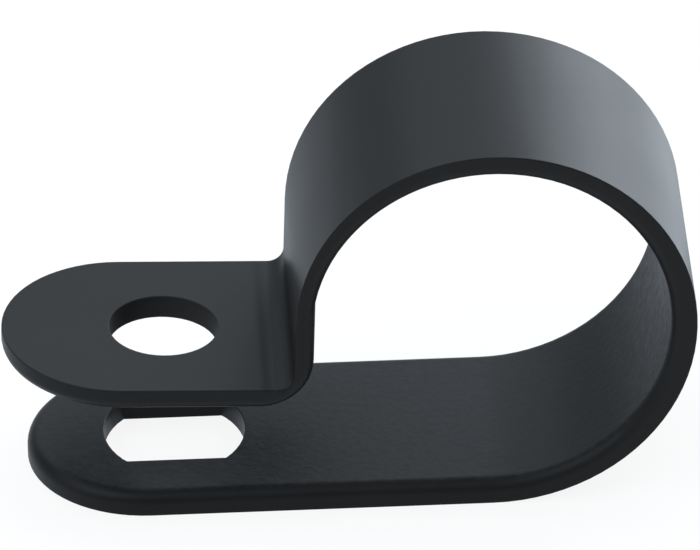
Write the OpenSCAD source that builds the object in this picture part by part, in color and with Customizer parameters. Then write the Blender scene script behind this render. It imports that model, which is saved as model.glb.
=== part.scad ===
// Cable clip: a moulded strap with a round cable loop, a slotted base leg and a drilled screw tab.
// It is shown as moulded, open, before a screw draws the tab down on the leg.
// Millimetres, +Z up. The origin is under the middle of the part, in the plane the base leg stands on.
// +X runs along the strap from the tab to the loop, and +Y runs along the cable.

/* [Cable loop] */
// Inside diameter of the round loop that holds the cable
loop_d = 14.05; // [10:0.05:24]
// Thickness of the loop where it has thinned down to the side wall, which flexes when the clip is closed
wall_t = 0.68; // [0.62:0.02:1]
// How far the straight side wall stands in from the loop, on the cable side
wall_in = 0.09; // [0.06:0.01:0.1]

/* [Strap] */
// Width of the strap along the cable
strap_w = 9.5; // [8:0.1:14]
// Thickness of the strap in the base leg, the loop and the tab
strap_t = 1; // [0.9:0.05:1.6]
// Radius on the edges that face the cable
edge_in = 0.55; // [0.2:0.05:0.55]
// Radius on the outside edges
edge_out = 0.05; // [0.05:0.05:0.15]

/* [Base leg] */
// Distance from the loop axis to the round end of the base leg
leg_len = 18.25; // [17:0.05:26]
// Length of the slot, along the strap
slot_l = 5.6; // [4.8:0.1:6.5]
// Width of the slot, across the strap
slot_w = 4.5; // [3.5:0.1:5.2]
// Radius of the slot's two curved ends
slot_end_r = 3.4; // [2.8:0.1:6]
// Distance from the leg's end to the middle of the slot
slot_back = 5.85; // [5.2:0.05:7]

/* [Screw tab] */
// Height of the tab's top face over the base, before the tab side is turned open
tab_h = 5.4; // [5:0.05:7]
// Length of the tab, from the side wall's outer face to its round end
tab_len = 11.35; // [10.5:0.05:16]
// Screw hole diameter
hole_d = 4.3; // [3:0.1:5]
// Distance from the tab's end to the hole axis
hole_back = 6.4; // [5:0.1:7]
// Radius on the rims of the hole and the slot
rim_r = 0.05; // [0.05:0.05:0.25]
// Angle by which the tab side is turned open about the loop axis, degrees
open_a = 2.05; // [1.69, 1.89, 2.05, 2.35, 2.56, 2.76]

/* [Bend] */
// Radius in the corner above the tab
bend_r = 0.65; // [0.6:0.05:1.3]
// Radius under the bend, on the cable side
bend_under_r = 2.1; // [1.8:0.05:2.4]

/* [Hidden] */
$fn = 96;

// Overshoot of a cut past the face it leaves through, and overlap of neighbouring pieces
over = 1;
lap = 0.2;
lap_a = 4;

half_w = strap_w / 2;
loop_r = loop_d / 2;
// Height of the loop axis, with the loop standing tangent on the base plane
axis_z = strap_t + loop_r;
// Outer and inner face of the side wall, left of the loop axis
wall_x = loop_r + wall_t;
face_x = loop_r - wall_in;
// Height over the loop axis at which the inner face has run into the loop
wall_top = sqrt(wall_in * (2 * (loop_r + edge_in) - wall_in)) + lap;
// Centre of the thinning quarter's outer arc over the loop axis: level at the top, flush with the wall
thin_z = strap_t - wall_t;
// Tab faces, over the loop axis
tab_top = tab_h - axis_z;
tab_under = tab_top - strap_t;
// Centre of the corner above the tab
bend_x = -wall_x - bend_r;
bend_z = tab_top + bend_r;
// Centre of the round under the bend
under_x = -face_x - bend_under_r;
under_z = tab_under + bend_under_r;
// Where the plain tab starts and the plain side wall ends
plain_x = min(bend_x, under_x);
plain_z = max(bend_z, under_z);
// Ends of the tab and the loop along X, and the middle of the part's length, which goes over the origin
tab_x = -wall_x - tab_len;
tab_end = (tab_x + edge_in) * cos(open_a) + (tab_under + edge_in) * sin(open_a) - edge_in;
mid_x = (loop_r + strap_t + tab_end) / 2;

// What a round of radius e takes off an outline's corner at (x, y), with the outline towards (dx, dy)
module corner_cut(x, y, e, dx, dy) {
    difference() {
        translate([x + min(0, dx) * e, y + min(0, dy) * e]) square(e);
        translate([x + dx * e, y + dy * e]) circle(r = e);
    }
}

// Strap section from a to b in x, strap_w wide in y, with corner radius ea at a and eb at b
module band(a, b, ea, eb) {
    difference() {
        translate([a, -half_w]) square([b - a, strap_w]);
        for (s = [-1, 1]) {
            if (ea > 0) corner_cut(a, s * half_w, ea, 1, -s);
            if (eb > 0) corner_cut(b, s * half_w, eb, -1, -s);
        }
    }
}

// The space from a to a strap face at b in x, with the strap beyond b and its edges rounded by e
module space(a, b, e) {
    difference() {
        translate([a, -half_w - over]) square([b - a + e, strap_w + 2 * over]);
        band(b, b + e + over, e, 0);
    }
}

// Half of a strap section, turned on its side for the round ends: thickness b - a in y
module half_band(a, b, ea, eb) {
    intersection() {
        rotate(90) mirror([0, 1]) band(a, b, ea, eb);
        translate([0, a - over]) square([strap_w, b - a + 2 * over]);
    }
}

// Turns a section about the Y direction, from angle a0 to a1, with 0 at +X and 90 at +Z
module turn(a0, a1) {
    rotate([90, 0, 0]) rotate([0, 0, a0]) rotate_extrude(angle = a1 - a0) children();
}

// Draws a section, its x turned up to +Z, out along -X from x = 0
module run(length) {
    rotate([0, -90, 0]) linear_extrude(length) children();
}

// The tab side, drawn about the loop axis and turned open
module tab_side() {
    translate([0, 0, axis_z]) rotate([0, open_a, 0]) children();
}

// Half section of a cut of radius or half-width r through z = a to b, opened by rim_r at both rims
module cut_section(r, a, b) {
    difference() {
        translate([0, a - over]) square([r + rim_r, b - a + 2 * over]);
        difference() {
            translate([r, a]) square([rim_r + over, b - a]);
            corner_cut(r, a, rim_r, 1, 1);
            corner_cut(r, b, rim_r, 1, -1);
        }
    }
}

// Base leg with its round end
module leg() {
    run(leg_len - half_w) band(0, strap_t, edge_out, edge_in);
    translate([half_w - leg_len, 0, 0])
        rotate([0, 0, 90]) rotate_extrude(angle = 180) half_band(0, strap_t, edge_out, edge_in);
}

// Full-thickness half of the loop, from the leg up to the top
module loop_half() {
    translate([0, 0, axis_z]) turn(-90, 90 - open_a) band(loop_r, loop_r + strap_t, edge_in, edge_out);
}

// Quarter of the loop that thins from the strap to the side wall, lapped into the full half
module loop_thinning() {
    turn(90 - lap_a, 90) band(loop_r, loop_r + strap_t, edge_in, edge_out);
    difference() {
        union() {
            translate([0, 0, thin_z]) turn(90, 180) band(0, wall_x, 0, edge_out);
            linear_extrude(thin_z) band(-wall_x, 0, edge_out, 0);
        }
        turn(0, 360) space(0, loop_r, edge_in);
    }
}

// Straight side wall under the thinning quarter, its inner face running up into the loop
module side_wall() {
    translate([0, 0, plain_z]) linear_extrude(-plain_z) band(-wall_x, -face_x, edge_out, edge_in);
    linear_extrude(wall_top) band(-face_x - edge_in - lap / 4, -face_x, 0, edge_in);
}

// Round block that fills the bend out to its cable side, lapped into the wall and the tab
module bend_block() {
    translate([under_x, 0, under_z]) turn(-90, 0) band(0, bend_under_r, 0, edge_in);
    translate([0, 0, under_z])
        linear_extrude(plain_z - under_z + lap) band(under_x, -face_x, 0, edge_in);
    translate([under_x, 0, 0])
        run(under_x - plain_x + lap) band(tab_under, under_z, edge_in, 0);
}

// Bend from the side wall into the tab: the block kept below and beyond the outside corner
module bend() {
    reach = bend_r + bend_under_r + over;
    intersection() {
        bend_block();
        translate([bend_x, 0, bend_z]) turn(-90, 0) band(bend_r, reach, edge_out, 0);
    }
    intersection() {
        bend_block();
        translate([0, 0, bend_z])
            linear_extrude(plain_z - bend_z + lap) band(-wall_x, reach - wall_x, edge_out, 0);
    }
    intersection() {
        bend_block();
        translate([bend_x, 0, 0])
            run(bend_x - plain_x + lap) band(tab_top - reach, tab_top, 0, edge_out);
    }
}

// Plain tab with its round end
module tab() {
    translate([plain_x, 0, 0])
        run(plain_x - tab_x - half_w) band(tab_under, tab_top, edge_in, edge_out);
    translate([tab_x + half_w, 0, 0])
        rotate([0, 0, 90]) rotate_extrude(angle = 180) half_band(tab_under, tab_top, edge_in, edge_out);
}

// Screw hole through the tab
module hole_cut() {
    translate([tab_x + hole_back, 0, 0])
        rotate_extrude() cut_section(hole_d / 2, tab_under, tab_top);
}

// Slot through the leg: straight sides and two shallow curved ends
module slot_cut() {
    translate([slot_back - leg_len, 0, 0]) intersection() {
        intersection_for (s = [-1, 1]) translate([s * (slot_end_r - slot_l / 2), 0, 0])
            rotate_extrude() cut_section(slot_end_r, 0, strap_t);
        rotate([90, 0, 90]) translate([0, 0, -slot_l]) linear_extrude(2 * slot_l) {
            cut_section(slot_w / 2, 0, strap_t);
            mirror([1, 0]) cut_section(slot_w / 2, 0, strap_t);
        }
    }
}

// The whole clip, one piece of black nylon
module clip_body() {
    color([0.13, 0.14, 0.15]) translate([-mid_x, 0, 0]) {
        difference() {
            leg();
            slot_cut();
        }
        loop_half();
        tab_side() difference() {
            union() {
                loop_thinning();
                side_wall();
                bend();
                tab();
            }
            hole_cut();
        }
    }
}

clip_body();
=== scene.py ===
# %% [markdown]
# # A moulded nylon cable clip
#
# The clip is one strap of black nylon: a flat base leg, a round loop for the cable and a raised tab for the
# screw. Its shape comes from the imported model, which is exact, so this lesson is about the rest of a product
# picture: a believable moulded plastic, soft light and a camera that stands where the photographer stood.

import math

import bmesh
import bpy
from mathutils import Matrix, Vector


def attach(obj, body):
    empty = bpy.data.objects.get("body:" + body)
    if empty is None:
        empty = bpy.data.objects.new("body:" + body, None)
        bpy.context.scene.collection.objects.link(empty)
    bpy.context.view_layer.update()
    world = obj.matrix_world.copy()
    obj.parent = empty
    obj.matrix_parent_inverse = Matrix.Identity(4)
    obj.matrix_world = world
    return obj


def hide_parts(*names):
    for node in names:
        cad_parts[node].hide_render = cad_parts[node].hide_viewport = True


MM = 0.001
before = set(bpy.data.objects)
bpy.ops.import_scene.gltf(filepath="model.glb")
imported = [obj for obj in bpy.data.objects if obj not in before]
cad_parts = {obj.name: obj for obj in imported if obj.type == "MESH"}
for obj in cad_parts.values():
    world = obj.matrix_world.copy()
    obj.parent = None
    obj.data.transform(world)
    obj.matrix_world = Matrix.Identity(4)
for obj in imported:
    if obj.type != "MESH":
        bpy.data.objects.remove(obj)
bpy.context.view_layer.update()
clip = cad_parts["clip_body"]


# %% [markdown]
# ## Helpers
#
# Colours are easiest to pick as sRGB hex values, but shaders work in linear light, so one function converts
# them. A second function adds a shader node, sets its values and links its inputs in one line. A third starts
# an empty material for them.

# %% Helpers for colours and nodes
def linear(hex_code):
    """An sRGB hex colour as linear RGBA."""
    channels = [int(hex_code[i:i + 2], 16) / 255 for i in (1, 3, 5)]
    return [c / 12.92 if c <= 0.04045 else ((c + 0.055) / 1.055) ** 2.4 for c in channels] + [1.0]


def add_node(tree, kind, inputs, **settings):
    """Adds a shader node. A socket among the inputs is linked, and any other value is set."""
    node = tree.nodes.new("ShaderNode" + kind)
    for name, value in settings.items():
        setattr(node, name, value)
    for socket, value in inputs.items():
        if isinstance(value, bpy.types.NodeSocket):
            tree.links.new(value, node.inputs[socket])
        else:
            node.inputs[socket].default_value = value
    return node


def new_material(name):
    """An empty node material and its tree."""
    material = bpy.data.materials.new(name)
    material.use_nodes = True
    material.node_tree.nodes.clear()
    return material, material.node_tree


print("mid grey #808080 is", round(linear("#808080")[0], 3), "in linear light")

# %% [markdown]
# ## Where the strap faces the cable
#
# The side of the strap that faces the cable has a slightly rougher, mottled skin than the outside. A mask
# tells the two sides apart. It could be painted on the mesh, but the strap is so regular that two distances
# do it: how far a point is from the loop axis and, on the leg, how far it is below that axis. The mask fades
# out just under the skin, on the edge rounds.

# %% Cable-side mask
# The loop's axis and its inside radius, as in the solid
LOOP_X, LOOP_Z, LOOP_R = 5.564 * MM, 8.025 * MM, 7.025 * MM
# Depths under the skin at which the mask has faded out and at which it is still full
LOOP_OUT, LOOP_FULL = 0.1 * MM, 0.03 * MM
LEG_OUT, LEG_FULL = 0.08 * MM, 0.01 * MM
# Nothing higher than this above the leg's top face counts as leg
LEG_REACH = 1.5 * MM


def cable_side(tree, position):
    """1 on the faces that look at the cable, 0 on the outside of the strap."""
    from_axis = add_node(tree, "VectorMath", {0: position, 1: (LOOP_X, 0, LOOP_Z)}, operation="SUBTRACT")
    flat = add_node(tree, "VectorMath", {0: from_axis.outputs[0], 1: (1, 0, 1)}, operation="MULTIPLY")
    radius = add_node(tree, "VectorMath", {0: flat.outputs[0]}, operation="LENGTH")
    in_loop = add_node(tree, "MapRange", {
        "Value": radius.outputs["Value"], "From Min": LOOP_R + LOOP_OUT, "From Max": LOOP_R + LOOP_FULL})
    offset = add_node(tree, "SeparateXYZ", {"Vector": from_axis.outputs[0]})
    on_top = add_node(tree, "MapRange", {
        "Value": offset.outputs["Z"], "From Min": -LOOP_R - LEG_OUT, "From Max": -LOOP_R - LEG_FULL})
    low = add_node(tree, "Math", {0: offset.outputs["Z"], 1: LEG_REACH - LOOP_R}, operation="LESS_THAN")
    left = add_node(tree, "Math", {0: offset.outputs["X"], 1: 0.0}, operation="LESS_THAN")
    leg_area = add_node(tree, "Math", {0: low.outputs[0], 1: left.outputs[0]}, operation="MULTIPLY")
    on_leg = add_node(tree, "Math", {0: on_top.outputs[0], 1: leg_area.outputs[0]}, operation="MULTIPLY")
    either = add_node(tree, "Math", {0: in_loop.outputs[0], 1: on_leg.outputs[0]}, operation="MAXIMUM")
    return either.outputs[0]


print("the mask fades out from", round((LOOP_R + LOOP_FULL) / MM, 3), "to",
      round((LOOP_R + LOOP_OUT) / MM, 3), "mm from the loop axis")

# %% [markdown]
# ## Painted shade lines beside the bend
#
# The strap turns sharply from its side wall into the tab, and the tab's top shows two faint dark lines that run
# along the bend. They are painted shade: a near-black colour that stands in for dark reflections in the gloss
# there and dims the highlight where the bend starts, together with a higher roughness. They are not modelled.
# Two periods of a cosine wave along the strap give them soft edges, and a limit on the height keeps them on top
# of the tab.

# %% Mask of the painted shade lines
FIRST_LINE, LINE_GAP, LINE_STRENGTH = LOOP_X - 8.87 * MM, 0.62 * MM, 0.3
# Heights, just under the tab's top face, over which the lines come in
TAB_OUT, TAB_FULL = LOOP_Z - 2.5 * MM, LOOP_Z - 2.38 * MM


def bend_shade_lines(tree, position):
    """Rises to LINE_STRENGTH along two lines of painted shade on the tab beside the bend, and is 0 elsewhere."""
    at = add_node(tree, "SeparateXYZ", {"Vector": position})
    phase = add_node(tree, "MapRange", {
        "Value": at.outputs["X"], "From Min": FIRST_LINE - 0.5 * LINE_GAP,
        "From Max": FIRST_LINE + 1.5 * LINE_GAP, "To Max": 4 * math.pi})
    wave = add_node(tree, "Math", {0: phase.outputs[0]}, operation="COSINE")
    # The same strength darkens the colour, which is painted shade, and raises the roughness
    dull = add_node(tree, "MapRange", {
        "Value": wave.outputs[0], "From Min": 1.0, "From Max": -1.0, "To Max": LINE_STRENGTH})
    on_tab = add_node(tree, "MapRange", {
        "Value": at.outputs["Z"], "From Min": TAB_OUT, "From Max": TAB_FULL})
    lines = add_node(tree, "Math", {0: dull.outputs[0], 1: on_tab.outputs[0]}, operation="MULTIPLY")
    return lines.outputs[0]


print("two dull lines,", round(LINE_GAP / MM, 2), "mm apart")

# %% [markdown]
# ## The wall of the screw hole
#
# A pin in the mould shapes the screw hole. The pin isn't polished, so the wall of the hole is duller than the
# skin around it. Its colour is also a shade paler, which is painted light on the wall of this recess. It could
# have a material of its own, but the clip is one moulding, so a mask is used here too. The distance from the
# hole's axis picks out the wall.

# %% Mask of the hole's wall
HOLE_X = -7.195 * MM
# The hole's radius and most of the small round on its rim
WALL_R = (2.15 + 0.035) * MM
# Everything at the hole is above this height, and the leg is below it
OVER_LEG = 3 * MM


def hole_wall(tree, position):
    """1 on the wall of the screw hole in the tab, 0 elsewhere."""
    from_axis = add_node(tree, "VectorMath", {0: position, 1: (HOLE_X, 0, 0)}, operation="SUBTRACT")
    flat = add_node(tree, "VectorMath", {0: from_axis.outputs[0], 1: (1, 1, 0)}, operation="MULTIPLY")
    radius = add_node(tree, "VectorMath", {0: flat.outputs[0]}, operation="LENGTH")
    near = add_node(tree, "Math", {0: radius.outputs["Value"], 1: WALL_R}, operation="LESS_THAN")
    at = add_node(tree, "SeparateXYZ", {"Vector": position})
    in_tab = add_node(tree, "Math", {0: at.outputs["Z"], 1: OVER_LEG}, operation="GREATER_THAN")
    return add_node(tree, "Math", {0: near.outputs[0], 1: in_tab.outputs[0]}, operation="MULTIPLY").outputs[0]


print("the hole's wall is within", round(WALL_R / MM, 3), "mm of its axis")

# %% [markdown]
# ## Moulded black nylon
#
# Cable clips are moulded in nylon 66, coloured through with carbon black. A single colour would look like paint,
# so three patterns break it up: wide, faint flow marks, mottles on the cable side and a fine grain all over.
# Each scale is one over a size in metres. The real grain is a few hundredths of a millimetre. It is drawn at
# 0.14 mm, because anything finer would be smaller than a pixel.

# %% Nylon: patterns
FLOW_SIZE, MOTTLE_SIZE, GRAIN_SIZE = 6 * MM, 0.3 * MM, 0.14 * MM
nylon, tree = new_material("nylon 66, black, satin moulded")
place = add_node(tree, "TexCoord", {}).outputs["Object"]
inside = cable_side(tree, place)
lines = bend_shade_lines(tree, place)
wall = hole_wall(tree, place)

flow = add_node(tree, "TexNoise", {"Vector": place, "Scale": 1 / FLOW_SIZE, "Detail": 2.0})
mottle = add_node(tree, "TexNoise", {
    "Vector": place, "Scale": 1 / MOTTLE_SIZE, "Detail": 3.0, "Roughness": 0.6})
spots = add_node(tree, "MapRange", {"Value": mottle.outputs[0], "From Min": 0.32, "From Max": 0.68})
grain = add_node(tree, "TexNoise", {"Vector": place, "Scale": 1 / GRAIN_SIZE, "Detail": 2.0})
print("nylon patterns in mm: flow marks", round(FLOW_SIZE / MM, 2), "mottles", round(MOTTLE_SIZE / MM, 2),
      "grain", round(GRAIN_SIZE / MM, 2))

# %% [markdown]
# ## Colour and gloss
#
# The outside is a plain black that the flow marks vary by a shade. The cable side is a little paler and duller,
# as if dusty, by its mottles. The lines beside the bend are duller and painted darker, as painted shade, and the
# wall of the screw hole is duller and painted paler, as painted light. Each is mixed over the one before by its
# mask, so one material covers the whole moulding.

# %% Nylon: colour and gloss
black = add_node(tree, "Mix", {
    0: flow.outputs[0], 6: linear("#181818"), 7: linear("#1E1E1E")}, data_type="RGBA")
dusty = add_node(tree, "Mix", {
    0: spots.outputs[0], 6: linear("#1C1D1D"), 7: linear("#292A2B")}, data_type="RGBA")
colour = add_node(tree, "Mix", {0: inside, 6: black.outputs[2], 7: dusty.outputs[2]}, data_type="RGBA")
# Painted shade: the lines beside the bend get a near-black colour
colour = add_node(tree, "Mix", {0: lines, 6: colour.outputs[2], 7: linear("#060606")}, data_type="RGBA")
# Painted light: the wall of the screw hole gets a paler colour
colour = add_node(tree, "Mix", {0: wall, 6: colour.outputs[2], 7: linear("#252525")}, data_type="RGBA")

smooth = add_node(tree, "MapRange", {"Value": flow.outputs[0], "To Min": 0.38, "To Max": 0.46})
rougher = add_node(tree, "MapRange", {"Value": spots.outputs[0], "To Min": 0.42, "To Max": 0.55})
skin = add_node(tree, "Mix", {0: inside, 2: smooth.outputs[0], 3: rougher.outputs[0]})
skin = add_node(tree, "Mix", {0: lines, 2: skin.outputs[0], 3: 0.8})
skin = add_node(tree, "Mix", {0: wall, 2: skin.outputs[0], 3: 0.65})
print("nylon roughness: 0.38 to 0.46 outside, 0.42 to 0.55 on the cable side")

# %% [markdown]
# ## Relief and shader
#
# The grain and the mottles also stand in relief, a few hundredths of a millimetre high. That is too little for
# the mesh, so a bump bends the shading instead. Nylon has an index of about 1.53, and a black plastic is seen
# mostly by its highlights. The satin skin scatters part of the light that a polished face would mirror, so the
# specular level is set low.

# %% Nylon: relief and shader
GRAIN_DEPTH, MOTTLE_DEPTH = 0.02 * MM, 0.05 * MM
fine = add_node(tree, "Bump", {"Height": grain.outputs[0], "Strength": 0.12, "Distance": GRAIN_DEPTH})
depth = add_node(tree, "Math", {0: mottle.outputs[0], 1: inside}, operation="MULTIPLY")
relief = add_node(tree, "Bump", {
    "Height": depth.outputs[0], "Strength": 0.3, "Distance": MOTTLE_DEPTH, "Normal": fine.outputs[0]})

plastic = add_node(tree, "BsdfPrincipled", {
    "Base Color": colour.outputs[2], "Roughness": skin.outputs[0], "IOR": 1.53, "Specular IOR Level": 0.12,
    "Normal": relief.outputs[0]})
add_node(tree, "OutputMaterial", {"Surface": plastic.outputs[0]})
print("material:", nylon.name, "with", len(tree.nodes), "nodes")

# %% [markdown]
# ## A clean skin for the strap
#
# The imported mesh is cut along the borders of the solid's faces, so its shading breaks where the loop's two
# halves meet. The shown piece is a copy of it with those borders joined again. Area-weighted normals then keep
# the flat faces flat and carry the shading round the edges, and only true corners stay sharp.

# %% Join the borders in a copy of the clip
JOIN_DISTANCE, SHARP_ANGLE = 0.002 * MM, math.radians(35)
strap_mesh = clip.data.copy()
strap_mesh.name = "clip_strap"
shape = bmesh.new()
shape.from_mesh(strap_mesh)
before = len(shape.verts)
bmesh.ops.remove_doubles(shape, verts=shape.verts, dist=JOIN_DISTANCE)
for face in shape.faces:
    face.smooth = True
for edge in shape.edges:
    edge.smooth = edge.calc_face_angle(0) < SHARP_ANGLE
joined = len(shape.verts)
open_edges = sum(not edge.is_manifold for edge in shape.edges)
shape.to_mesh(strap_mesh)
shape.free()
print("strap:", before, "points joined to", joined, "with", open_edges, "open edges")

# %% [markdown]
# ## The strap in the scene
#
# The copy gets the nylon and the weighted normals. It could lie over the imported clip, but two skins in one
# place show through each other, so it replaces the clip. It rides on the clip's one body, which has no joints.

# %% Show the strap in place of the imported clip
strap_mesh.materials.clear()
strap_mesh.materials.append(nylon)
strap = bpy.data.objects.new("clip_strap", strap_mesh)
bpy.context.scene.collection.objects.link(strap)
weighted = strap.modifiers.new("weighted normals", "WEIGHTED_NORMAL")
weighted.mode, weighted.weight, weighted.keep_sharp = "FACE_AREA", 50, True
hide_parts("clip_body")
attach(strap, "root")
print("strap:", strap.name, "with", len(strap_mesh.polygons), "faces in", nylon.name)

# %% [markdown]
# ## Floor
#
# The picture has a white background. The floor is a sheet of white paper, which isn't part of the clip. Under
# the lamps alone it would look grey in places, so most of what the camera sees of it is a plain white glow,
# mixed in by Light Path, and the rest is the lit paper, which keeps the clip's soft shadow.
# Reflections see the glow as well, in the cool tint of the lamps. The glow lights nothing.

# %% White paper
COOL = linear("#EAF5FF")
GLOW_SHARE = 0.88
paper, tree = new_material("paper, white, matt")
sheet = add_node(tree, "BsdfPrincipled", {
    "Base Color": linear("#F4F3F2"), "Roughness": 0.9, "Specular IOR Level": 0.1})
ray = add_node(tree, "LightPath", {})
by_camera, by_gloss = ray.outputs["Is Camera Ray"], ray.outputs["Is Glossy Ray"]
by_glass = ray.outputs["Is Transmission Ray"]
tint = add_node(tree, "Mix", {0: by_camera, 6: COOL, 7: linear("#FFFFFF")}, data_type="RGBA")
glow = add_node(tree, "Emission", {"Color": tint.outputs[2], "Strength": 1.0})
seen = add_node(tree, "Math", {0: by_camera, 1: by_gloss}, operation="MAXIMUM")
seen = add_node(tree, "Math", {0: seen.outputs[0], 1: by_glass}, operation="MAXIMUM")
share = add_node(tree, "Math", {0: seen.outputs[0], 1: GLOW_SHARE}, operation="MULTIPLY")
white = add_node(tree, "MixShader", {0: share.outputs[0], 1: sheet.outputs[0], 2: glow.outputs[0]})
add_node(tree, "OutputMaterial", {"Surface": white.outputs[0]})
print("material:", paper.name, "with a glow of", GLOW_SHARE, "of what is seen")

# %% [markdown]
# ## The sheet of paper
#
# A studio would curve the paper up behind the clip. Here it is flat, and large enough that a view from above
# never reaches its edge. It lies a hundredth of a millimetre under the leg, so that the two faces don't flicker
# through each other.

# %% White floor
FLOOR_HALF = 1.5
corners = [(x * FLOOR_HALF, y * FLOOR_HALF, 0) for x, y in ((-1, -1), (1, -1), (1, 1), (-1, 1))]
floor_mesh = bpy.data.meshes.new("floor")
floor_mesh.from_pydata(corners, [], [(0, 1, 2, 3)])
floor_mesh.materials.append(paper)
floor = bpy.data.objects.new("floor", floor_mesh)
floor.location.z = -0.01 * MM
bpy.context.scene.collection.objects.link(floor)
print("floor:", 2 * FLOOR_HALF, "m square, top at", round(floor.location.z / MM, 3), "mm")

# %% [markdown]
# ## Light
#
# Black plastic shows its lights more than its colour, so each panel is placed for the faces that mirror it. The
# loop is bright on its right: a panel stands behind it there, and a sheet of light lies low on the floor beside
# it. A wide panel overhead is for the tab and the leg. Dim panels at the back left, in front and on the left
# fill the faces that the others miss, and a dim world does the rest.

# %% Soft panels
def soft_panel(name, place, aim, width, height, radiance):
    """A rectangular area light of the given radiance, in metres."""
    lamp = bpy.data.lights.new(name, "AREA")
    lamp.shape, lamp.color = "RECTANGLE", COOL[:3]
    lamp.size, lamp.size_y = width, height
    lamp.energy = radiance * math.pi * width * height
    panel = bpy.data.objects.new(name, lamp)
    panel.location = place
    panel.rotation_euler = (Vector(aim) - Vector(place)).to_track_quat("-Z", "Y").to_euler()
    bpy.context.scene.collection.objects.link(panel)
    print(name, "gives", round(lamp.energy, 3), "W")


soft_panel("panel right", (0.32, 0.42, 0.11), (0.0, 0.0, 0.01), 0.50, 0.26, 6.3)
soft_panel("sheet right", (0.066, 0.075, 0.0005), (0.066, 0.075, 0.1), 0.09, 0.12, 2.2)
soft_panel("panel back left", (-0.24, 0.44, 0.17), (0.0, 0.0, 0.01), 0.40, 0.24, 0.45)
soft_panel("panel overhead", (0.05, 0.30, 0.60), (0.0, 0.0, 0.0), 1.0, 0.8, 2.45)
soft_panel("panel front", (-0.08, -0.42, 0.62), (0.0, 0.0, 0.0), 0.8, 0.6, 0.9)
soft_panel("panel left", (-0.52, -0.24, 0.48), (0.0, 0.0, 0.0), 0.6, 0.6, 2.2)

# %% [markdown]
# ## World
#
# A dim, even light from all round stands for the walls of the studio, and keeps the faces that no panel reaches
# from going fully black. A picture of a room could do the same, but its bright spots would show in the plastic.

# %% Dim world
WORLD_STRENGTH = 0.19
world = bpy.data.worlds.new("dim studio")
bpy.context.scene.world = world
world.use_nodes = True
background = world.node_tree.nodes["Background"]
background.inputs["Color"].default_value = COOL
background.inputs["Strength"].default_value = WORLD_STRENGTH
print("world:", world.name, "at", WORLD_STRENGTH)

# %% [markdown]
# ## Camera
#
# The camera's place was fitted to the picture's outlines: it stands far off with a long lens, a little left of
# straight on and about a third of the way up. The matrix is built from the view direction, because an aim
# constraint would lose the small roll.

# %% Camera
WIDTH_PX, FOCAL_PX = 700, 10521.97
azimuth, elevation, roll = math.radians(-2.607), math.radians(32.486), math.radians(-0.702)
spot = Vector((-15.686, -349.415, 230.605)) * MM
ahead = Vector((-math.sin(azimuth) * math.cos(elevation), math.cos(azimuth) * math.cos(elevation),
                -math.sin(elevation)))
side = ahead.cross(Vector((0, 0, 1))).normalized()
up = side.cross(ahead)
right = math.cos(roll) * side + math.sin(roll) * up
top = math.cos(roll) * up - math.sin(roll) * side

lens = bpy.data.cameras.new("camera")
lens.sensor_width = 36.0
lens.lens = FOCAL_PX / WIDTH_PX * lens.sensor_width
lens.clip_start, lens.clip_end = 0.01, 10.0
camera = bpy.data.objects.new("camera", lens)
camera.matrix_world = Matrix.Translation(spot) @ Matrix((right, top, -ahead)).transposed().to_4x4()
bpy.context.scene.collection.objects.link(camera)
bpy.context.scene.camera = camera
print("camera:", [round(c, 4) for c in spot], "lens", round(lens.lens, 1), "mm")

# %% [markdown]
# ## Finish
#
# The standard view transform shows colours as they are written.

# %% Finish
bpy.context.scene.view_settings.view_transform = "Standard"
